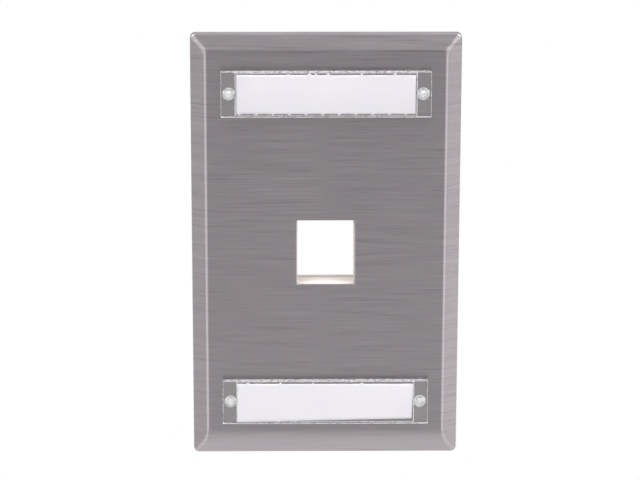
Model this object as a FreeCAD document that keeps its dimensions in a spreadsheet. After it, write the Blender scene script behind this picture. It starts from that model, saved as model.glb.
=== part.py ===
import FreeCAD, Part
import os
import re
import Sketcher

# Single gang stainless steel wall plate with one keystone port and two label windows.
# Millimetres. Origin: centre of the plate on the wall plane. +Z up, the front looks along -Y.

SIZES = {
    # formed steel plate
    "plate_width": 69.85,
    "plate_height": 114.3,
    "plate_depth": 4.7,
    "steel": 0.9,
    "bevel_run": 3.8,
    "bevel_drop": 2.13,
    "bend_radius": 1.0,
    "inner_run": 3.06,
    "inner_drop": 1.715,
    # keystone port in the steel
    "port_width": 15.25,
    "port_bottom": -9.72,
    "port_top": 7.83,
    # mounting screws and the formed seats that hold their heads
    "screw_spacing": 83.34,
    "seat_radius": 4.35,
    "seat_depth": 2.7,
    "seat_hole_radius": 1.98,
    "seat_outer_radius": 4.75,
    "seat_end_radius": 2.9,
    "seat_end_depth": 3.0,
    "screw_radius": 1.7525,
    "screw_length": 25.4,
    "neck_radius": 1.5,
    "neck_length": 2.35,
    "tip_length": 0.6,
    "head_radius": 3.3,
    "head_sink": 1.0,
    "crown_height": 0.75,
    "slot_width": 1.15,
    "slot_depth": 1.05,
    # label covers
    "cover_spacing": 83.94,
    "cover_width": 54.2,
    "cover_height": 12.05,
    "cover_depth": 1.45,
    "cover_gap": 0.05,
    "cover_corner": 0.25,
    "cover_edge": 0.22,
    "pocket_width": 46.9,
    "pocket_height": 11.5,
    "pocket_depth": 0.75,
    "peg_spacing": 50.1,
    "peg_radius": 1.5,
    "peg_bore_radius": 1.02,
    "peg_bore_stop": 0.55,
    "peg_length": 4.2,
    "peg_hole_radius": 1.64,
    # paper label cards
    "card_width": 45.9,
    "card_height": 10.4,
    "card_thickness": 0.22,
    "card_lift": 0.33,
    "card_skew": 0.9,
    "card_side_skew": 0.45,
    "nib_width": 0.35,
    "nib_height": 0.3,
    "nib_pitch": 4.3,
    # moulded keystone frame behind the port
    "flange_width": 30.0,
    "flange_height": 27.0,
    "flange_depth": 1.6,
    "flange_centre": -0.94,
    "box_width": 18.0,
    "box_bottom": -11.6,
    "box_top": 11.4,
    "box_back": 3.5,
    "aperture_width": 14.8,
    "ledge_depth": 2.8,
    "latch_top": 9.6,
    "rib_height": 0.3,
    "rib_start": 2.2,
    "rib_depth": 0.9,
    # welded studs and push-on nuts that hold the frame
    "stud_x": 12.0,
    "stud_z": 9.6,
    "stud_radius": 1.0,
    "stud_length": 3.1,
    "weld_radius": 1.35,
    "weld_height": 0.3,
    "nut_radius": 2.6,
    "nut_sheet": 0.3,
    "nut_rise": 0.55,
    "nut_slit": 0.4,
}

doc = FreeCAD.newDocument("wall_plate")
sheet = doc.addObject("Spreadsheet::Sheet", "sizes")
for row, (alias, value) in enumerate(SIZES.items(), start=1):
    sheet.set(f"A{row}", alias)
    sheet.set(f"B{row}", str(value))
    sheet.setAlias(f"B{row}", alias)
doc.recompute()

WITH_SHEET = {alias: "sizes." + alias for alias in SIZES}
SUB_PARTS = []


def keep(part, label):
    """Names a finished sub-part and puts it on the list that is checked and written."""
    part.Label = label
    SUB_PARTS.append(part)
    return part


def sized(text):
    """Turns bare alias names in an expression into references to the sheet."""
    return re.sub("[a-z_0-9]+", lambda word: WITH_SHEET.get(word[0], word[0]), text)


def bind(part, **properties):
    """Binds properties, written with __ for a dot, to expressions of the sheet."""
    for name, text in properties.items():
        part.setExpression(name.replace("__", "."), sized(text))


def new_body(name):
    return doc.addObject("PartDesign::Body", name + "_body")


def new_sketch(body, name, role, depth="0", shift="0"):
    """Sketch on one of the body's own origin planes, moved along its normal and its Y."""
    sketch = body.newObject("Sketcher::SketchObject", name)
    plane = next(item for item in body.Origin.OriginFeatures if item.Role == role)
    sketch.AttachmentSupport = [(plane, "")]
    sketch.MapMode = "FlatFace"
    bind(sketch, AttachmentOffset__Base__z=depth, AttachmentOffset__Base__y=shift)
    return sketch


def reading(sketch, text):
    value = sketch.evalExpression(sized(text))
    return float(getattr(value, "Value", value))


def pin_coordinate(sketch, geometry, end, kind, axis, text):
    """Fixes one coordinate of a point to an expression, or to the axis when it is zero."""
    value = reading(sketch, text)
    if abs(value) < 1e-9:
        sketch.addConstraint(Sketcher.Constraint("PointOnObject", geometry, end, axis))
        return
    index = sketch.addConstraint(Sketcher.Constraint(kind, -1, 1, geometry, end, value))
    sketch.setExpression(f"Constraints[{index}]", sized(text))


def outline(sketch, points):
    """Closed outline of straight lines; every point is a pair of expressions."""
    first = sketch.GeometryCount
    places = [FreeCAD.Vector(reading(sketch, x), reading(sketch, y), 0) for x, y in points]
    count = len(points)
    for step in range(count):
        line = Part.LineSegment(places[step], places[(step + 1) % count])
        sketch.addGeometry(line, False)
    for step in range(count):
        follower = first + (step + 1) % count
        sketch.addConstraint(Sketcher.Constraint("Coincident", first + step, 2, follower, 1))
    for step, (x, y) in enumerate(points):
        pin_coordinate(sketch, first + step, 1, "DistanceX", -2, x)
        pin_coordinate(sketch, first + step, 1, "DistanceY", -1, y)
    return sketch


def rectangle(sketch, half_width, bottom, top):
    """Rectangle symmetric about the sketch's vertical axis."""
    left = f"0 - ({half_width})"
    return outline(sketch, [(left, bottom), (half_width, bottom), (half_width, top), (left, top)])


def circle(sketch, x, y, radius):
    place = FreeCAD.Vector(reading(sketch, x), reading(sketch, y), 0)
    index = sketch.addGeometry(Part.Circle(place, FreeCAD.Vector(0, 0, 1), 1.0), False)
    pin_coordinate(sketch, index, 3, "DistanceX", -2, x)
    pin_coordinate(sketch, index, 3, "DistanceY", -1, y)
    size = sketch.addConstraint(Sketcher.Constraint("Radius", index, reading(sketch, radius)))
    sketch.setExpression(f"Constraints[{size}]", sized(radius))
    return sketch


def pad(body, sketch, length, back=False, taper=None):
    feature = body.newObject("PartDesign::Pad", sketch.Name + "_pad")
    feature.Profile = sketch
    feature.Reversed = back
    bind(feature, Length=length)
    if taper:
        bind(feature, TaperAngle=taper)
    doc.recompute()
    return feature


def pocket(body, sketch, length, back=False, taper=None):
    """Pocket of a given length; the body must lose volume, or the direction is wrong."""
    before = body.Shape.Volume
    feature = body.newObject("PartDesign::Pocket", sketch.Name + "_pocket")
    feature.Profile = sketch
    feature.Reversed = back
    bind(feature, Length=length)
    if taper:
        bind(feature, TaperAngle=taper)
    doc.recompute()
    assert body.Shape.Volume < before - 1e-6, sketch.Name
    return feature


def turned(body, kind, sketch):
    """Revolution or groove about the sketch's horizontal axis."""
    feature = body.newObject("PartDesign::" + kind, sketch.Name + "_" + kind.lower())
    feature.Profile = sketch
    feature.ReferenceAxis = (sketch, ["H_Axis"])
    feature.Angle = 360.0
    doc.recompute()
    return feature


def edges_where(shape, test):
    return [f"Edge{index}" for index, edge in enumerate(shape.Edges, start=1) if test(edge)]


def fillet(body, base, test, radius):
    feature = body.newObject("PartDesign::Fillet", base.Name + "_fillet")
    feature.Base = (base, edges_where(base.Shape, test))
    bind(feature, Radius=radius)
    doc.recompute()
    return feature


def lies_at(edge, depth):
    box = edge.BoundBox
    return abs(box.YMin - depth) < 1e-4 and abs(box.YMax - depth) < 1e-4


def place(part, x="0", y="0", z="0"):
    bind(part, Placement__Base__x=x, Placement__Base__y=y, Placement__Base__z=z)


def face_plate():
    """Formed steel plate: skirt, bevelled rim, flat face, port, peg holes, screw seats."""
    body = new_body("face_plate")
    skirt = new_sketch(body, "skirt", "XZ_Plane")
    rectangle(skirt, "plate_width / 2", "0 - plate_height / 2", "plate_height / 2")
    pad(body, skirt, "plate_depth - bevel_drop")
    rim = new_sketch(body, "rim", "XZ_Plane", "plate_depth - bevel_drop")
    rectangle(rim, "plate_width / 2", "0 - plate_height / 2", "plate_height / 2")
    formed = pad(body, rim, "bevel_drop", taper="-atan(bevel_run / bevel_drop)")
    fillet(body, formed, lambda edge: not lies_at(edge, 0), "bend_radius")

    hollow = new_sketch(body, "hollow", "XZ_Plane")
    rectangle(hollow, "plate_width / 2 - steel", "steel - plate_height / 2",
              "plate_height / 2 - steel")
    pocket(body, hollow, "plate_depth - steel - inner_drop", back=True)
    dish = new_sketch(body, "dish", "XZ_Plane", "plate_depth - steel - inner_drop")
    rectangle(dish, "plate_width / 2 - steel", "steel - plate_height / 2",
              "plate_height / 2 - steel")
    pocket(body, dish, "inner_drop", back=True, taper="-atan(inner_run / inner_drop)")

    port = new_sketch(body, "port", "XZ_Plane")
    rectangle(port, "port_width / 2", "port_bottom", "port_top")
    pocket(body, port, "plate_depth + 1", back=True)
    holes = new_sketch(body, "peg_holes", "XZ_Plane")
    for x in ("peg_spacing / 2", "0 - peg_spacing / 2"):
        for z in ("cover_spacing / 2", "0 - cover_spacing / 2"):
            circle(holes, x, z, "peg_hole_radius")
    pocket(body, holes, "plate_depth + 1", back=True)

    for name, shift in (("upper", "screw_spacing / 2"), ("lower", "0 - screw_spacing / 2")):
        wall = new_sketch(body, name + "_seat_wall", "YZ_Plane", shift=shift)
        outline(wall, [("0.5 - plate_depth", "0"),
                       ("0.5 - plate_depth", "seat_outer_radius"),
                       ("steel - plate_depth", "seat_outer_radius"),
                       ("seat_end_depth - plate_depth", "seat_end_radius"),
                       ("seat_end_depth - plate_depth", "0")])
        turned(body, "Revolution", wall)
        seat = new_sketch(body, name + "_seat", "YZ_Plane", shift=shift)
        outline(seat, [("0 - plate_depth - 0.1", "0"),
                       ("0 - plate_depth - 0.1", "seat_radius + 0.087"),
                       ("seat_depth - plate_depth", "seat_hole_radius"),
                       ("seat_end_depth + 0.1 - plate_depth", "seat_hole_radius"),
                       ("seat_end_depth + 0.1 - plate_depth", "0")])
        turned(body, "Groove", seat)
    return keep(body, "face_plate")


def port_frame():
    """Moulded frame behind the port: flange, square tube, latch ledge and bottom rib."""
    body = new_body("port_frame")
    flange = new_sketch(body, "flange", "XZ_Plane", "plate_depth - steel - flange_depth")
    rectangle(flange, "flange_width / 2", "flange_centre - flange_height / 2",
              "flange_centre + flange_height / 2")
    base = pad(body, flange, "flange_depth")
    upright = lambda edge: edge.BoundBox.YLength > 1.0
    fillet(body, base, upright, "1.2")
    tube = new_sketch(body, "tube", "XZ_Plane", "plate_depth - steel")
    rectangle(tube, "box_width / 2", "box_bottom", "box_top")
    pad(body, tube, "plate_depth - steel + box_back", back=True)
    aperture = new_sketch(body, "aperture", "XZ_Plane", "plate_depth - steel")
    rectangle(aperture, "aperture_width / 2", "port_bottom", "port_top")
    pocket(body, aperture, "plate_depth + box_back + 1")
    latch = new_sketch(body, "latch", "XZ_Plane", "plate_depth - steel - ledge_depth")
    rectangle(latch, "aperture_width / 2", "0", "latch_top")
    pocket(body, latch, "plate_depth + box_back")
    rib = new_sketch(body, "rib", "XZ_Plane", "0 - rib_start")
    rectangle(rib, "aperture_width / 2 + 0.2", "port_bottom - 0.2", "port_bottom + rib_height")
    pad(body, rib, "rib_depth", back=True)
    holes = new_sketch(body, "stud_holes", "XZ_Plane", "plate_depth - steel")
    for x in ("stud_x", "0 - stud_x"):
        for z in ("flange_centre + stud_z", "flange_centre - stud_z"):
            circle(holes, x, z, "weld_radius + 0.1")
    pocket(body, holes, "flange_depth + 0.1")
    return keep(body, "port_frame")


def weld_stud(label, x, z):
    """Plain stud with a small weld collar, standing on the back of the steel face."""
    shank = doc.addObject("Part::Cylinder", label + "_shank")
    bind(shank, Radius="stud_radius", Height="stud_length")
    collar = doc.addObject("Part::Cone", label + "_collar")
    bind(collar, Radius1="weld_radius", Radius2="stud_radius", Height="weld_height")
    stud = doc.addObject("Part::MultiFuse", label + "_fuse")
    stud.Shapes = [shank, collar]
    stud.Placement.Rotation = FreeCAD.Rotation(FreeCAD.Vector(1, 0, 0), -90)
    place(stud, x, "steel - plate_depth", z)
    return keep(stud, label)


def push_nut(label, x, z):
    """Push-on nut: flat ring, raised centre, bore slit into teeth that bite the stud."""
    body = new_body(label)
    profile = new_sketch(body, label + "_profile", "YZ_Plane")
    outline(profile, [("0", "stud_radius + 0.75"), ("0", "nut_radius"),
                      ("nut_sheet", "nut_radius"), ("nut_sheet", "stud_radius + 0.8"),
                      ("nut_rise + nut_sheet", "stud_radius"), ("nut_rise", "stud_radius")])
    turned(body, "Revolution", profile)
    slits = new_sketch(body, label + "_slits", "XZ_Plane", "0 - nut_rise - nut_sheet - 0.2")
    rectangle(slits, "nut_slit / 2", "0 - stud_radius - 0.6", "stud_radius + 0.6")
    first = pocket(body, slits, "nut_rise + nut_sheet + 0.4", back=True)
    turn = body.newObject("PartDesign::PolarPattern", label + "_pattern")
    turn.Originals = [first]
    turn.Axis = (slits, ["N_Axis"])
    turn.Angle = 180.0
    turn.Occurrences = 3
    body.Tip = turn
    doc.recompute()
    place(body, x, "steel - plate_depth + flange_depth", z)
    return keep(body, label)


def label_cover(label, side):
    """Clear cover: window wall, card pocket open at the back, two hollow pegs."""
    body = new_body(label)
    block = new_sketch(body, label + "_block", "XZ_Plane")
    rectangle(block, "cover_width / 2", "0 - cover_height / 2", "cover_height / 2")
    base = pad(body, block, "cover_depth")
    corners = lambda edge: edge.BoundBox.YLength > 1.0
    rounded = fillet(body, base, corners, "cover_corner")
    front = rounded.Shape.BoundBox.YMin
    fillet(body, rounded, lambda edge: lies_at(edge, front), "cover_edge")
    room = new_sketch(body, label + "_room", "XZ_Plane")
    rectangle(room, "pocket_width / 2", "0 - pocket_height / 2", "pocket_height / 2")
    pocket(body, room, "pocket_depth", back=True)
    pegs = new_sketch(body, label + "_pegs", "XZ_Plane")
    bores = new_sketch(body, label + "_bores", "XZ_Plane", "0 - peg_length")
    for x in ("peg_spacing / 2", "0 - peg_spacing / 2"):
        circle(pegs, x, "0", "peg_radius")
        circle(bores, x, "0", "peg_bore_radius")
    pad(body, pegs, "peg_length", back=True)
    pocket(body, bores, "peg_length + cover_depth - peg_bore_stop", back=True)
    place(body, "0", "0 - plate_depth - cover_gap", f"{side} * cover_spacing / 2")
    return keep(body, label)


def label_card(label, side, skewed):
    """Paper card with perforation nibs on its top edge; one card is cut out of square."""
    body = new_body(label)
    skew = "card_skew" if skewed else "0"
    side_skew = "card_side_skew" if skewed else "0"
    card = new_sketch(body, label + "_sheet", "XZ_Plane")
    outline(card, [("0 - card_width / 2", "0 - card_height / 2"),
                   (f"card_width / 2 - {side_skew}", f"{skew} - card_height / 2"),
                   ("card_width / 2", "card_height / 2"),
                   ("0 - card_width / 2", "card_height / 2")])
    pad(body, card, "card_thickness")
    nib = new_sketch(body, label + "_nib", "XZ_Plane")
    outline(nib, [("3.2 - card_width / 2", "card_height / 2 - 0.1"),
                  ("3.2 - card_width / 2 + nib_width", "card_height / 2 - 0.1"),
                  ("3.2 - card_width / 2 + nib_width", "card_height / 2 + nib_height"),
                  ("3.2 - card_width / 2", "card_height / 2 + nib_height")])
    first = pad(body, nib, "card_thickness")
    row = body.newObject("PartDesign::LinearPattern", label + "_nibs")
    row.Originals = [first]
    row.Direction = (nib, ["H_Axis"])
    row.Occurrences = 10
    bind(row, Length="nib_pitch * 9")
    body.Tip = row
    doc.recompute()
    place(body, "0", "0 - plate_depth - card_lift", f"{side} * cover_spacing / 2")
    return keep(body, label)


def mounting_screw(label, side):
    """Slotted oval head screw; local +Z runs down the shank, into the wall."""
    neck = doc.addObject("Part::Cylinder", label + "_neck")
    bind(neck, Radius="neck_radius", Height="neck_length + 0.1")
    shank = doc.addObject("Part::Cylinder", label + "_shank")
    bind(shank, Radius="screw_radius", Height="screw_length - neck_length - tip_length",
         Placement__Base__z="neck_length")
    tip = doc.addObject("Part::Cone", label + "_tip")
    bind(tip, Radius1="screw_radius", Radius2="screw_radius - tip_length", Height="tip_length",
         Placement__Base__z="screw_length - tip_length")
    cone = doc.addObject("Part::Cone", label + "_cone")
    bind(cone, Radius1="head_radius", Radius2="neck_radius",
         Height="(head_radius - neck_radius) / 0.8693")
    crown = doc.addObject("Part::Sphere", label + "_crown")
    bind(crown, Radius="(head_radius * head_radius + crown_height * crown_height) "
                       "/ (2 * crown_height)",
         Placement__Base__z="(head_radius * head_radius + crown_height * crown_height) "
                            "/ (2 * crown_height) - crown_height")
    limit = doc.addObject("Part::Cylinder", label + "_limit")
    bind(limit, Radius="head_radius", Height="crown_height + 0.2",
         Placement__Base__z="0 - crown_height - 0.1")
    cap = doc.addObject("Part::MultiCommon", label + "_cap")
    cap.Shapes = [crown, limit]
    solid = doc.addObject("Part::MultiFuse", label + "_solid")
    solid.Shapes = [neck, shank, tip, cone, cap]
    slot = doc.addObject("Part::Box", label + "_slot")
    bind(slot, Length="head_radius * 2 + 2", Width="slot_width", Height="slot_depth + 1",
         Placement__Base__x="0 - head_radius - 1", Placement__Base__y="0 - slot_width / 2",
         Placement__Base__z="0 - crown_height - 1")
    screw = doc.addObject("Part::Cut", label + "_cut")
    screw.Base = solid
    screw.Tool = slot
    screw.Placement.Rotation = FreeCAD.Rotation(FreeCAD.Vector(1, 0, 0), -90)
    place(screw, "0", "head_sink - plate_depth", f"{side} * screw_spacing / 2")
    return keep(screw, label)


STUD_PLACES = {
    "upper_left": ("0 - stud_x", "flange_centre + stud_z"),
    "upper_right": ("stud_x", "flange_centre + stud_z"),
    "lower_left": ("0 - stud_x", "flange_centre - stud_z"),
    "lower_right": ("stud_x", "flange_centre - stud_z"),
}

face_plate()
port_frame()
for corner, (x, z) in STUD_PLACES.items():
    weld_stud("weld_stud_" + corner, x, z)
    push_nut("push_nut_" + corner, x, z)
for end, side in (("top", "1"), ("bottom", "-1")):
    label_cover("label_cover_" + end, side)
    label_card("label_card_" + end, side, end == "bottom")
    mounting_screw("mounting_screw_" + end, side)

doc.recompute()
for part in doc.Objects:
    assert "Invalid" not in part.State and "Error" not in part.State, (part.Name, part.State)
for part in SUB_PARTS:
    assert not part.Shape.isNull() and part.Shape.isValid(), part.Label

os.makedirs("parts", exist_ok=True)
for part in SUB_PARTS:
    part.Shape.exportStep(f"parts/{part.Label}.step")
    box = part.Shape.BoundBox
    print(f"{part.Label}: {box.XMin:.2f}..{box.XMax:.2f} {box.YMin:.2f}..{box.YMax:.2f} "
          f"{box.ZMin:.2f}..{box.ZMax:.2f} volume {part.Shape.Volume:.1f}")
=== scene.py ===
import math
import random

import bmesh
import bpy
from mathutils import Matrix, Vector, noise


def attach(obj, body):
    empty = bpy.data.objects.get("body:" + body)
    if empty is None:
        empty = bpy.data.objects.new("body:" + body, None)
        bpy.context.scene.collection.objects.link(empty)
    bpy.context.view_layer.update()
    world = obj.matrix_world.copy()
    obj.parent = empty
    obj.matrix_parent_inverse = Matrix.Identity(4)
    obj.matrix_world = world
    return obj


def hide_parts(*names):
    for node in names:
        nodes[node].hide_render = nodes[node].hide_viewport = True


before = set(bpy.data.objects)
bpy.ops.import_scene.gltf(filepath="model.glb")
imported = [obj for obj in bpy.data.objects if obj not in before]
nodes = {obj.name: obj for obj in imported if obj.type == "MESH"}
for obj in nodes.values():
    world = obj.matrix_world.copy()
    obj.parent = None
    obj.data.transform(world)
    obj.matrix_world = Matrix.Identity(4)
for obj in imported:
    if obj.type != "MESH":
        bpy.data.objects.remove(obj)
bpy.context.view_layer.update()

MM = 0.001

# Sizes in millimetres. Y runs from the room to the wall, and the wall is at 0.
PLATE_DEPTH = 4.7
SHEET = 0.9
HALF_WIDTH, HALF_HEIGHT = 34.925, 57.15
BEVEL_RUN, TOP_BEVEL_RUN, BEVEL_DROP = 3.8, 4.05, 2.13
SIDE_BEND, TOP_BEND, LOW_BEND = 2.5, 2.0, 13.0
INNER_RUN, INNER_DROP = 3.06, 1.715
PORT_HALF_WIDTH, PORT_HALF_HEIGHT, PORT_CORNER, PORT_Z = 7.625, 8.775, 0.35, -0.945
SEAT_RADIUS, SEAT_HOLE = 4.35, 1.98
COVER_Z, SCREW_Z = 41.97, 41.67
PEG_X, PEG_HOLE, PEG_RADIUS, PEG_LENGTH = 25.05, 1.64, 1.5, 4.2
COVER_BACK = -4.75
COVER_HALF_WIDTH, COVER_HALF_HEIGHT = 27.1, 6.025
COVER_THICKNESS, COVER_WALL = 1.45, 1
COVER_CORNER = 0.25
POCKET_HALF_WIDTH, POCKET_HALF_HEIGHT = 23.45, 5.75
POCKET_DEPTH = 0.75
CARD_Y, CARD_HALF_THICKNESS = -5.14, 0.11
CARD_BOW, CARD_RIPPLE = 0.09, 0.025
HEAD_Y, HEAD_RISE = -3.7, 0.75
SLOT_WIDTH, SLOT_DEPTH = 1.15, 1.05
SCREW_LENGTH, SHANK_RADIUS, TIP_RADIUS = 25.4, 1.5, 1.05
THREAD_PITCH, THREAD_MAJOR, THREAD_MINOR = 25.4 / 32, 1.7525, 1.29
RAMP_TOP = 8    # brightness that white stands for in a brightness ramp


# ---------------------------------------------------------------- node helpers

class Nodes:
    """A node tree with short calls to add and link nodes."""

    def __init__(self, tree):
        self.tree = tree

    def add(self, kind, **inputs):
        """New shader node. A name that starts with p_ is a property, any other is a socket."""
        node = self.tree.nodes.new("ShaderNode" + kind)
        for name, value in inputs.items():
            if name.startswith("p_"):
                setattr(node, name[2:], value)
            else:
                self.feed(node.inputs[name.replace("_", " ")], value)
        return node

    def feed(self, socket, value):
        if isinstance(value, bpy.types.NodeSocket):
            self.tree.links.new(value, socket)
        else:
            socket.default_value = value

    def noise(self, scale, detail, rough):
        """Noise in object space, with a scale for each axis so that it can run one way."""
        place = self.add("TexCoord").outputs["Object"]
        vector = self.add("Mapping", Vector=place, Scale=scale).outputs["Vector"]
        return self.add("TexNoise", Vector=vector, Scale=1.0, Detail=detail,
                        Roughness=rough).outputs["Fac"]

    def span(self, value, low, high, out_low, out_high, kind="LINEAR"):
        """Maps low..high to out_low..out_high, and holds the value beyond them."""
        node = self.add("MapRange", p_interpolation_type=kind, Value=value)
        for socket, number in zip(("From Min", "From Max", "To Min", "To Max"),
                                  (low, high, out_low, out_high)):
            node.inputs[socket].default_value = number
        return node.outputs["Result"]

    def math(self, operation, a, b):
        node = self.add("Math", p_operation=operation)
        self.feed(node.inputs[0], a)
        self.feed(node.inputs[1], b)
        return node.outputs[0]

    def mix(self, factor, a, b):
        node = self.add("Mix", p_data_type="RGBA")
        for index, value in ((0, factor), (6, a), (7, b)):
            self.feed(node.inputs[index], value)
        return node.outputs[2]

    def bump(self, height, strength, distance):
        return self.add("Bump", Height=height, Strength=strength,
                        Distance=distance).outputs["Normal"]

    def ramp(self, value, stops):
        """Smooth brightness against a value from -1 to 1. Each stop is (value, grey)."""
        node = self.add("ValToRGB", Fac=self.span(value, -1.0, 1.0, 0.0, 1.0))
        node.color_ramp.interpolation = "EASE"
        elements = node.color_ramp.elements
        for index, (position, grey) in enumerate(stops):
            place = (position + 1) / 2
            element = elements[index] if index < 2 else elements.new(place)
            element.position = place
            element.color = (grey / RAMP_TOP, grey / RAMP_TOP, grey / RAMP_TOP, 1)
        return node.outputs[0]


class Finish(Nodes):
    """The node tree of a new material."""

    def __init__(self, name):
        self.material = bpy.data.materials.new(name)
        self.material.use_nodes = True
        super().__init__(self.material.node_tree)

    def set(self, **values):
        shader = self.tree.nodes["Principled BSDF"]
        for name, value in values.items():
            self.feed(shader.inputs[name.replace("_", " ")], value)


# ---------------------------------------------------------------- materials

def brushed_steel():
    """Stainless sheet with a fine grain along X."""
    n = Finish("brushed_stainless")
    hair = n.noise((60, 5, 6500), 2.0, 0.6)
    fine = n.noise((40, 5, 2600), 3.0, 0.7)
    middle = n.noise((20, 5, 900), 3.0, 0.6)
    broad = n.noise((18, 5, 70), 2.0, 0.5)
    grain = n.math("ADD", n.math("MULTIPLY", hair, 0.45), n.math("MULTIPLY", fine, 0.55))
    tint = n.mix(n.span(grain, 0.28, 0.72, 0.0, 1.0),
                 (0.195, 0.178, 0.19, 1), (0.331, 0.312, 0.318, 1))
    tint = n.mix(n.span(middle, 0.3, 0.7, 0.0, 0.35), tint, (0.264, 0.26, 0.254, 1))
    tint = n.mix(n.span(broad, 0.3, 0.7, 0.0, 0.3), tint, (0.264, 0.236, 0.25, 1))
    n.set(Base_Color=tint, Metallic=1.0, Anisotropic=0.85,
          Roughness=n.span(grain, 0.3, 0.7, 0.25, 0.38),
          Tangent=n.add("CombineXYZ", Z=1.0).outputs[0],
          Normal=n.bump(grain, 0.5, 0.00002))
    return n.material


def clear_plastic():
    """Polished polycarbonate with a faint haze."""
    n = Finish("clear_plastic")
    haze = n.noise((300, 300, 300), 3.0, 0.6)
    n.set(Base_Color=n.mix(haze, (0.98, 0.98, 0.985, 1), (0.992, 0.992, 0.995, 1)),
          Roughness=n.span(haze, 0.3, 0.7, 0.015, 0.05), IOR=1.585,
          Normal=n.bump(haze, 0.1, 0.00002), Transmission_Weight=1.0)
    return n.material


def frosted(name, clearness):
    """Moulded plastic that is milky where the tool was not polished."""
    n = Finish(name)
    milk = n.noise((900, 900, 900), 4.0, 0.6)
    n.set(Base_Color=n.mix(milk, (0.93, 0.93, 0.95, 1), (0.99, 0.99, 1.0, 1)),
          Roughness=n.span(milk, 0.3, 0.7, 0.2, 0.4), IOR=1.585,
          Normal=n.bump(milk, 0.3, 0.00004), Transmission_Weight=clearness)
    return n.material


def card_paper():
    """Smooth white card with fine fibres and slightly uneven whiteness."""
    n = Finish("white_card")
    fibre = n.noise((2500, 2500, 5000), 5.0, 0.7)
    cloud = n.noise((120, 120, 120), 3.0, 0.5)
    white = n.mix(n.span(cloud, 0.3, 0.7, 0.0, 1.0),
                  (0.94, 0.927, 0.967, 1), (0.967, 0.957, 0.985, 1))
    n.set(Base_Color=white, Roughness=n.span(fibre, 0.3, 0.7, 0.75, 0.9),
          Normal=n.bump(fibre, 0.15, 0.00003))
    return n.material


def ivory_plastic():
    """Satin moulded plastic with fine pits."""
    n = Finish("ivory_plastic")
    pits = n.noise((3000, 3000, 3000), 4.0, 0.6)
    cloud = n.noise((150, 150, 150), 2.0, 0.5)
    n.set(Base_Color=n.mix(cloud, (0.43, 0.396, 0.372, 1), (0.46, 0.424, 0.398, 1)),
          Roughness=n.span(pits, 0.3, 0.7, 0.5, 0.65), Normal=n.bump(pits, 0.2, 0.00003),
          Specular_IOR_Level=0.12)
    return n.material


def plated_metal(name, dark, light, roughness, cloud_scale):
    """Plated steel with cloudy plating and fine scratches."""
    n = Finish(name)
    cloud = n.noise((cloud_scale, cloud_scale, cloud_scale), 4.0, 0.6)
    scratch = n.noise((5000, 300, 5000), 3.0, 0.7)
    n.set(Base_Color=n.mix(n.span(cloud, 0.3, 0.7, 0.0, 1.0), dark, light), Metallic=1.0,
          Roughness=n.span(cloud, 0.3, 0.7, roughness - 0.06, roughness + 0.08),
          Normal=n.bump(scratch, 0.2, 0.00002))
    return n.material


STEEL = brushed_steel()
CLEAR = clear_plastic()
EDGE = frosted("clear_plastic_edge", 0.5)
SIDE = frosted("clear_plastic_side", 0.9)
TOP = frosted("clear_plastic_top", 0.86)
PAPER = card_paper()
IVORY = ivory_plastic()
ZINC = plated_metal("zinc_plate", (0.17, 0.17, 0.18, 1), (0.25, 0.25, 0.26, 1), 0.3, 600)
COPPER = plated_metal("copper_flash", (0.40, 0.24, 0.17, 1), (0.50, 0.32, 0.23, 1), 0.36, 700)
SPRING = plated_metal("spring_steel", (0.19, 0.20, 0.22, 1), (0.29, 0.30, 0.33, 1), 0.38, 700)


def dress(name, material):
    """Gives a carried-over CAD node its material."""
    mesh = nodes[name].data
    mesh.materials.clear()
    mesh.materials.append(material)


def soften(name, width):
    """Rounds the sharp edges of a carried-over CAD node with modifiers."""
    weld = nodes[name].modifiers.new("weld", "WELD")
    weld.merge_threshold = 1e-6
    bevel = nodes[name].modifiers.new("soft edges", "BEVEL")
    bevel.width = width * MM
    bevel.segments = 3
    bevel.limit_method = "ANGLE"
    bevel.angle_limit = math.radians(35)
    bevel.use_clamp_overlap = True
    bevel.harden_normals = True


dress("face_plate", STEEL)
dress("port_frame", IVORY)
soften("port_frame", 0.22)
for corner in ("upper_left", "upper_right", "lower_left", "lower_right"):
    dress("weld_stud_" + corner, COPPER)
    dress("push_nut_" + corner, SPRING)
    soften("weld_stud_" + corner, 0.1)
    soften("push_nut_" + corner, 0.06)
for end in ("top", "bottom"):
    dress("label_cover_" + end, CLEAR)
    dress("label_card_" + end, PAPER)
    dress("mounting_screw_" + end, ZINC)


# ---------------------------------------------------------------- mesh helpers

def rounded_path(points, steps=5):
    """Polyline in two numbers with rounded corners. Each point is (a, b, radius)."""
    out = []
    for index, (a, b, radius) in enumerate(points):
        here = Vector((a, b))
        if radius == 0 or index in (0, len(points) - 1):
            out.append(here)
            continue
        before = (Vector(points[index - 1][:2]) - here).normalized()
        after = (Vector(points[index + 1][:2]) - here).normalized()
        half = before.angle(after) / 2
        reach = radius / math.tan(half)
        centre = here + (before + after).normalized() * (radius / math.sin(half))
        start = here + before * reach - centre
        sweep = start.angle_signed(here + after * reach - centre)
        for step in range(steps + 1):
            turn = Matrix.Rotation(-sweep * step / steps, 2)
            out.append(centre + turn @ start)
    return out


def rounded_ring(half_width, above, below, radius, y, centre=(0.0, 0.0), steps=6):
    """Rounded rectangle of points across XZ that reaches above and below its centre."""
    ring = []
    for quarter, (sx, sz) in enumerate(((1, 1), (-1, 1), (-1, -1), (1, -1))):
        reach = above if sz > 0 else below
        for step in range(steps + 1):
            angle = math.pi / 2 * (quarter + step / steps)
            ring.append(Vector((
                centre[0] + sx * (half_width - radius) + radius * math.cos(angle), y,
                centre[1] + sz * (reach - radius) + radius * math.sin(angle))) * MM)
    return ring


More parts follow.
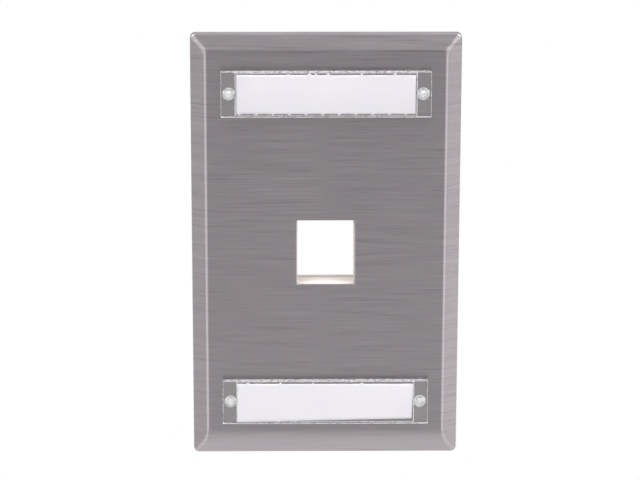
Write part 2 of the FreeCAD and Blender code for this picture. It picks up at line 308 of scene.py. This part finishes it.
def round_ring(radius, y, centre, count=40):
    """Circle of points across XZ."""
    return [Vector((centre[0] + radius * math.cos(math.tau * step / count), y,
                    centre[1] + radius * math.sin(math.tau * step / count))) * MM
            for step in range(count)]


def skin(bm, rings, slot=0):
    """Quads between successive closed rings; returns the first and last ring's vertices."""
    rows = [[bm.verts.new(point) for point in ring] for ring in rings]
    for low, high in zip(rows, rows[1:]):
        for step in range(len(low)):
            follow = (step + 1) % len(low)
            bm.faces.new((low[step], low[follow], high[follow], high[step])).material_index = slot
    return rows[0], rows[-1]


def fill(bm, rows):
    """Flat face between an outer ring and the rings of its holes."""
    edges = []
    for row in rows:
        for step in range(len(row)):
            pair = (row[step], row[(step + 1) % len(row)])
            edges.append(bm.edges.get(pair) or bm.edges.new(pair))
    bmesh.ops.triangle_fill(bm, edges=edges, use_beauty=True)


def finish_piece(bm, name, materials, body, replaced, shade=True):
    """Turns a closed bmesh into a piece that rides on a body, with area weighted normals."""
    bmesh.ops.recalc_face_normals(bm, faces=bm.faces)
    mesh = bpy.data.meshes.new(name)
    bm.to_mesh(mesh)
    bm.free()
    for material in materials:
        mesh.materials.append(material)
    mesh.shade_smooth()
    if shade:
        normals = [Vector() for _ in mesh.vertices]
        for face in mesh.polygons:
            for vertex in face.vertices:
                normals[vertex] += face.normal * face.area
        mesh.normals_split_custom_set_from_vertices([item.normalized() for item in normals])
    piece = bpy.data.objects.new(name, mesh)
    scene.collection.objects.link(piece)
    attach(piece, body)
    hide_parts(replaced)
    return piece


# ---------------------------------------------------------------- face plate

def bevel_inset(run, bend, fall):
    """How far in from the rim a bevelled side lies at a given fall behind the front face."""
    slope = math.atan2(BEVEL_DROP, run)
    if fall < bend * (1 - math.cos(slope)):
        return (run + bend * math.tan(slope / 2)
                - math.sqrt(bend * bend - (bend - fall) ** 2))
    return run * (1 - fall / BEVEL_DROP)


def plate_ring(side, top, bottom, y):
    """One turn of the rim at a depth; the inset is its own on the sides, top and bottom."""
    return rounded_ring(HALF_WIDTH - side, HALF_HEIGHT - top, HALF_HEIGHT - bottom,
                        max(1.15, 1.35 - 0.5 * side), y, steps=8)


def build_plate():
    """Formed sheet: bends, mitred bevel corners, pierced port and holes, dimpled seats."""
    bm = bmesh.new()
    face, face_back = -PLATE_DEPTH, SHEET - PLATE_DEPTH
    levels, lowest = 22, 2.0
    rings = []
    for level in range(levels):
        fall = lowest * (level / levels) ** 2
        rings.append(plate_ring(
            bevel_inset(BEVEL_RUN, SIDE_BEND, fall), bevel_inset(TOP_BEVEL_RUN, TOP_BEND, fall),
            bevel_inset(BEVEL_RUN, LOW_BEND, fall), fall - PLATE_DEPTH))
    section = rounded_path([
        (BEVEL_RUN, face, 0), (0.0, BEVEL_DROP - PLATE_DEPTH, 0.35), (0.0, 0.0, 0.18),
        (SHEET, 0.0, 0.18), (SHEET, INNER_DROP + SHEET - PLATE_DEPTH, 0.5),
        (SHEET + INNER_RUN, face_back, 2.5), (9.5, face_back, 0)], steps=8)
    rings += [plate_ring(inset, inset, inset, y) for inset, y in section[1:-1]]
    front, back = skin(bm, rings)
    fronts, backs = [front], [back]

    lip = rounded_path([(0.6, face, 0), (0.0, face, 0.14), (0.0, face_back, 0.06),
                        (0.6, face_back, 0)], steps=3)[1:-1]
    holes = [[rounded_ring(PORT_HALF_WIDTH + grow, PORT_HALF_HEIGHT + grow,
                           PORT_HALF_HEIGHT + grow, PORT_CORNER + grow, y, (0.0, PORT_Z))
              for grow, y in lip]]
    for x in (-PEG_X, PEG_X):
        for z in (-COVER_Z, COVER_Z):
            holes.append([round_ring(PEG_HOLE + grow, y, (x, z)) for grow, y in lip])
    seat_end, seat_back = 2.7 - PLATE_DEPTH, 3.0 - PLATE_DEPTH
    seat = rounded_path([
        (7.0, face, 0), (SEAT_RADIUS, face, 1.0), (SEAT_HOLE, seat_end, 0.12),
        (SEAT_HOLE, seat_back, 0.08), (2.88, seat_back, 0.15), (4.75, face_back, 0.7),
        (7.0, face_back, 0)], steps=4)[1:-1]
    for z in (-SCREW_Z, SCREW_Z):
        holes.append([round_ring(radius, y, (0.0, z), 56) for radius, y in seat])
    for hole in holes:
        first, last = skin(bm, hole)
        fronts.append(first)
        backs.append(last)
    fill(bm, fronts)
    fill(bm, backs)
    finish_piece(bm, "formed_plate", [STEEL], "plate", "face_plate")


# ---------------------------------------------------------------- label covers and cards

def build_cover(end, side):
    """Clear cover: polished window, frosted low front edge, card pocket, two pegs."""
    bm = bmesh.new()
    middle = (0.0, side * COVER_Z)
    wall_front = COVER_BACK - COVER_WALL
    materials = [CLEAR, EDGE, SIDE, TOP]
    clear, edge, wall, top = range(len(materials))

    def cover_ring(inset, y):
        return rounded_ring(COVER_HALF_WIDTH - inset, COVER_HALF_HEIGHT - inset,
                            COVER_HALF_HEIGHT - inset, COVER_CORNER, y, middle)

    sides = rounded_path([(1.5, COVER_BACK, 0), (0.0, COVER_BACK, 0.1), (0.0, wall_front, 0)],
                         steps=3)[1:-1]
    turn = rounded_path([(0.0, wall_front, 0), (0.0, COVER_BACK - COVER_THICKNESS, 0.16),
                         (0.3, COVER_BACK - COVER_THICKNESS, 0)], steps=4)[1:-1]
    turn = [cover_ring(inset, y) for inset, y in turn]
    back, _ = skin(bm, [cover_ring(inset, y) for inset, y in sides] + turn[:1], wall)
    _, front = skin(bm, turn, edge)
    fill(bm, [front])

    pocket_floor = COVER_BACK - POCKET_DEPTH
    pocket = rounded_path([(1.0, COVER_BACK, 0), (0.0, COVER_BACK, 0.06),
                           (0.0, pocket_floor, 0.22), (-1.5, pocket_floor, 0)], steps=3)[1:-1]
    first, last = skin(bm, [
        rounded_ring(POCKET_HALF_WIDTH + grow, POCKET_HALF_HEIGHT + grow,
                     POCKET_HALF_HEIGHT + grow, COVER_CORNER, y, middle)
        for grow, y in pocket], edge)
    # The long walls are clear, or faintly milky on top. In front, only the low edge is frosted.
    top_from, low_edge_to = COVER_HALF_HEIGHT - 0.1, 0.25 - COVER_HALF_HEIGHT
    bm.normal_update()
    for face in bm.faces:
        centre = face.calc_center_median()
        height = centre.z / MM - middle[1]
        if centre.y > wall_front * MM:
            if abs(face.normal.z) > 0.5:
                face.material_index = top if height > top_from else clear
        elif face.material_index == edge and height > low_edge_to:
            face.material_index = wall
    fill(bm, [last])

    holes = [first]
    peg_back, core_end = COVER_BACK + PEG_LENGTH, COVER_BACK - 0.9
    peg = rounded_path([
        (2.2, COVER_BACK, 0), (PEG_RADIUS, COVER_BACK, 0.1), (PEG_RADIUS, peg_back, 0.15),
        (1.05, peg_back, 0.08), (1.03, core_end, 0.12), (0.0, core_end, 0)], steps=3)[1:-1]
    for x in (-PEG_X, PEG_X):
        first, last = skin(bm, [round_ring(max(radius, 0.3), y, (x, middle[1]))
                                for radius, y in peg], wall)
        fill(bm, [last])
        holes.append(first)
    fill(bm, [back] + holes)
    bmesh.ops.remove_doubles(bm, verts=bm.verts, dist=1e-7)
    finish_piece(bm, "window_cover_" + end, materials, "cover_" + end,
                 "label_cover_" + end)


def build_card(end, side, corners, nibs_top, nibs_low, seed):
    """Paper card: slightly bowed, with nibs left along its perforated edges.

    corners gives left and right, the heights of the top and low edges at each, and a slant.
    A nib is (x, height, width).
    """
    bm = bmesh.new()
    left, right, top_left, top_right, low_left, low_right, slant = corners
    columns, rows = 260, 16

    def edge_of(nibs, x):
        return sum(height * math.exp(-((x - at) / width) ** 2) for at, height, width in nibs)

    def point(column, row, back):
        across = column / columns
        x = left + (right - left) * across
        top = top_left + (top_right - top_left) * across + edge_of(nibs_top, x)
        low = low_left + (low_right - low_left) * across - edge_of(nibs_low, x)
        up = row / rows
        z = low + (top - low) * up
        x -= slant * (1 - up) * across
        bow = CARD_BOW * math.cos(math.pi * (across - 0.5))
        ripple = CARD_RIPPLE * noise.noise(Vector((x * 0.35, z * 0.35, seed)))
        rim = min(1.0, min(across, 1 - across) * 60, min(up, 1 - up) * 10)
        thick = CARD_HALF_THICKNESS * (0.6 + 0.4 * rim)
        y = CARD_Y - bow + ripple + (thick if back else -thick)
        return Vector((x, y, side * COVER_Z + z)) * MM

    sheets = []
    for back in (0, 1):
        grid = [[bm.verts.new(point(column, row, back)) for row in range(rows + 1)]
                for column in range(columns + 1)]
        for column in range(columns):
            for row in range(rows):
                bm.faces.new((grid[column][row], grid[column + 1][row],
                              grid[column + 1][row + 1], grid[column][row + 1]))
        sheets.append(grid)
    rims = []
    for grid in sheets:
        rims.append([grid[column][0] for column in range(columns)]
                    + [grid[columns][row] for row in range(rows)]
                    + [grid[column][rows] for column in range(columns, 0, -1)]
                    + [grid[0][row] for row in range(rows, 0, -1)])
    for step in range(len(rims[0])):
        follow = (step + 1) % len(rims[0])
        bm.faces.new((rims[0][step], rims[0][follow], rims[1][follow], rims[1][step]))
    finish_piece(bm, "paper_card_" + end, [PAPER], "card_" + end, "label_card_" + end,
                 shade=False)


# ---------------------------------------------------------------- screws

def build_screw(end, side):
    """Slotted oval head screw with a rolled 6-32 thread."""
    bm = bmesh.new()
    count, rows_per_turn = 48, 12
    middle = (0.0, side * SCREW_Z)
    head = rounded_path([
        (0.0, HEAD_Y - HEAD_RISE, 0), (1.6, HEAD_Y - 0.62, 3.0), (3.2, HEAD_Y - 0.02, 0.1),
        (3.28, HEAD_Y + 0.1, 0.05), (SHANK_RADIUS, HEAD_Y + 2.15, 0.3),
        (SHANK_RADIUS, HEAD_Y + 2.6, 0)], steps=5)
    rings = [round_ring(max(radius, 0.25), y, middle, count) for radius, y in head[1:]]
    start, stop = HEAD_Y + 2.62, HEAD_Y + SCREW_LENGTH
    fade_length, fade_from, tip_length = 0.7, 0.35, 0.9
    root, flank = 0.06, 0.8    # parts of half a pitch
    rows = int((stop - start) / THREAD_PITCH * rows_per_turn)
    for row in range(rows + 1):
        y = start + (stop - start) * row / rows
        fade = min(1.0, (y - start) / fade_length + fade_from)
        limit = TIP_RADIUS + (THREAD_MAJOR - TIP_RADIUS) * min(1.0, (stop - y) / tip_length)
        ring = []
        for step in range(count):
            ridge = abs(((y - start) / THREAD_PITCH - step / count) % 1.0 - 0.5) * 2
            height = min(1.0, max(0.0, (ridge - root) / flank))
            radius = min(THREAD_MINOR + (THREAD_MAJOR - THREAD_MINOR) * height * fade, limit)
            angle = math.tau * step / count
            ring.append(Vector((middle[0] + radius * math.cos(angle), y,
                                middle[1] + radius * math.sin(angle))) * MM)
        rings.append(ring)
    first, last = skin(bm, rings)
    fill(bm, [first])
    fill(bm, [last])
    screw = finish_piece(bm, "slotted_screw_" + end, [ZINC], "screw_" + end,
                         "mounting_screw_" + end, shade=False)
    cut_slot(screw, Vector((0.0, HEAD_Y - HEAD_RISE, middle[1])) * MM,
             (8 * MM, 2 * SLOT_DEPTH * MM, SLOT_WIDTH * MM))
    screw.data.set_sharp_from_angle(angle=math.radians(38))


def cut_slot(screw, place, size):
    """Cuts a box of the given size out of a screw's head."""
    mesh = bpy.data.meshes.new("cutter")
    box = bmesh.new()
    bmesh.ops.create_cube(box, size=1.0, matrix=Matrix.Translation(place)
                          @ Matrix.Diagonal((*size, 1)))
    box.to_mesh(mesh)
    box.free()
    cutter = bpy.data.objects.new("cutter", mesh)
    scene.collection.objects.link(cutter)
    slot = screw.modifiers.new("slot", "BOOLEAN")
    slot.object = cutter
    slot.solver = "EXACT"
    graph = bpy.context.evaluated_depsgraph_get()
    screw.data = bpy.data.meshes.new_from_object(screw.evaluated_get(graph))
    screw.modifiers.clear()
    bpy.data.objects.remove(cutter)


scene = bpy.context.scene
build_plate()
for end, side in (("top", 1), ("bottom", -1)):
    build_cover(end, side)
    build_screw(end, side)
chance = random.Random(3)
even_nibs = [(-22.3 + 4.28 * step, chance.uniform(0.37, 0.43), chance.uniform(0.24, 0.34))
             for step in range(11)]
build_card("top", 1, (-23.05, 23.0, 5.1, 5.0, -5.25, -5.3, 0.0),
           [(-9.8, 0.25, 0.3), (-4.3, 0.64, 0.3), (-2.6, 0.4, 0.25), (0.5, 0.64, 0.3),
            (9.1, 0.5, 0.25), (17.7, 0.6, 0.3)], even_nibs, 3)
build_card("bottom", -1, (-23.3, 23.25, 5.02, 4.92, -5.68, -4.8, 0.35),
           [(-20.5, 0.3, 0.3), (-11.9, 0.4, 0.25), (-3.3, 0.3, 0.3), (9.6, 0.4, 0.25)],
           [(-20.8, 0.1, 0.3), (-12.2, 0.2, 0.3), (-7.9, 0.15, 0.3)], 8)


# ---------------------------------------------------------------- stage, light, camera

def make_camera():
    """Camera a little above the plate and almost straight in front, on a long lens."""
    up, side, roll = (math.radians(angle) for angle in (17.19, -0.82, 0.1255))
    distance, shift_right, shift_up = 0.8133, -0.00142, 0.001035
    back = Vector((math.sin(side) * math.cos(up), -math.cos(side) * math.cos(up), math.sin(up)))
    right = Vector((math.cos(side), math.sin(side), 0.0))
    top = back.cross(right)
    place = back * distance + right * shift_right + top * shift_up
    turned_right = right * math.cos(roll) + top * math.sin(roll)
    turned_top = top * math.cos(roll) - right * math.sin(roll)
    data = bpy.data.cameras.new("camera")
    data.sensor_width, data.lens = 36.0, 174.375
    camera = bpy.data.objects.new("camera", data)
    scene.collection.objects.link(camera)
    turn = Matrix((turned_right, turned_top, back)).transposed().to_4x4()
    camera.matrix_world = Matrix.Translation(place) @ turn
    scene.camera = camera


def make_floor():
    """Large pale floor well under the object."""
    mesh = bpy.data.meshes.new("floor")
    half, z = 30.0, -0.25
    mesh.from_pydata([(-half, -half, z), (half, -half, z), (half, half, z), (-half, half, z)],
                     [], [(0, 1, 2, 3)])
    floor = bpy.data.objects.new("floor", mesh)
    scene.collection.objects.link(floor)
    n = Finish("floor")
    glow = n.add("Emission", Color=(1, 1, 1, 1), Strength=1.0)
    n.feed(n.tree.nodes["Material Output"].inputs["Surface"], glow.outputs[0])
    mesh.materials.append(n.material)
    floor.visible_diffuse = False
    floor.visible_glossy = False
    floor.visible_shadow = False


BEHIND_GAIN = 1.5625    # how much brighter the surround is behind the object
# Brightness against height and against left to right, each from -1 to 1.
RISE = [(-1.0, 1.15), (-0.85, 1.3), (-0.7, 1.3), (-0.5, 1.04), (-0.38, 0.64), (-0.25, 0.34),
        (-0.12, 0.24), (0.1, 0.3), (0.3, 0.46), (0.7, 0.66), (0.85, 0.7), (1.0, 1.0)]
ACROSS = [(-1.0, 2.6), (-0.93, 2.0), (-0.82, 1.05), (-0.55, 0.9), (-0.25, 1.0), (0.25, 1.0),
          (0.55, 1.0), (0.82, 1.65), (0.93, 2.4), (1.0, 2.6)]
# Round soft lights: azimuth, elevation and radius in degrees, and brightness.
PANELS = [(-44, 34, 14, 1.0), (44, 34, 14, 1.2), (-31, -16, 13, 1.6), (31, -16, 13, 1.6),
          (-76, 36, 21, 3.2), (76, 36, 21, 3.2), (-50, 56, 15, 8.0), (50, 56, 15, 8.0),
          (0, 82, 18, 0.4)]
PANEL_BLUR = 5    # degrees over which a panel's edge fades, either side
EXPOSURE = 1.42


def make_world():
    """Soft studio surround: greyer straight in front, brighter panels either side and above."""
    world = bpy.data.worlds.new("studio")
    world.use_nodes = True
    scene.world = world
    n = Nodes(world.node_tree)
    direction = n.add("TexCoord").outputs["Generated"]
    part = n.add("SeparateXYZ", Vector=direction).outputs
    both_ramps = RAMP_TOP ** 2
    behind = n.span(part["Y"], 0.0, 1.0, both_ramps, both_ramps * BEHIND_GAIN, "SMOOTHSTEP")
    light = n.math("MULTIPLY", n.math("MULTIPLY", n.ramp(part["Z"], RISE),
                                      n.ramp(part["X"], ACROSS)), behind)
    for azimuth, elevation, radius, brightness in PANELS:
        a, e = math.radians(azimuth), math.radians(elevation)
        toward = n.add("VectorMath", p_operation="DOT_PRODUCT")
        n.feed(toward.inputs[0], direction)
        n.feed(toward.inputs[1], (math.sin(a) * math.cos(e), -math.cos(a) * math.cos(e),
                                  math.sin(e)))
        panel = n.span(toward.outputs["Value"], math.cos(math.radians(radius + PANEL_BLUR)),
                       math.cos(math.radians(radius - PANEL_BLUR)), 0.0, brightness,
                       "SMOOTHSTEP")
        light = n.math("ADD", light, panel)
    background = n.tree.nodes["Background"]
    n.feed(background.inputs["Strength"], n.math("MULTIPLY", light, EXPOSURE))
    n.feed(background.inputs["Color"], (1.0, 0.985, 1.0, 1))


make_camera()
make_floor()
make_world()

scene.view_settings.view_transform = "Standard"
scene.view_settings.look = "None"
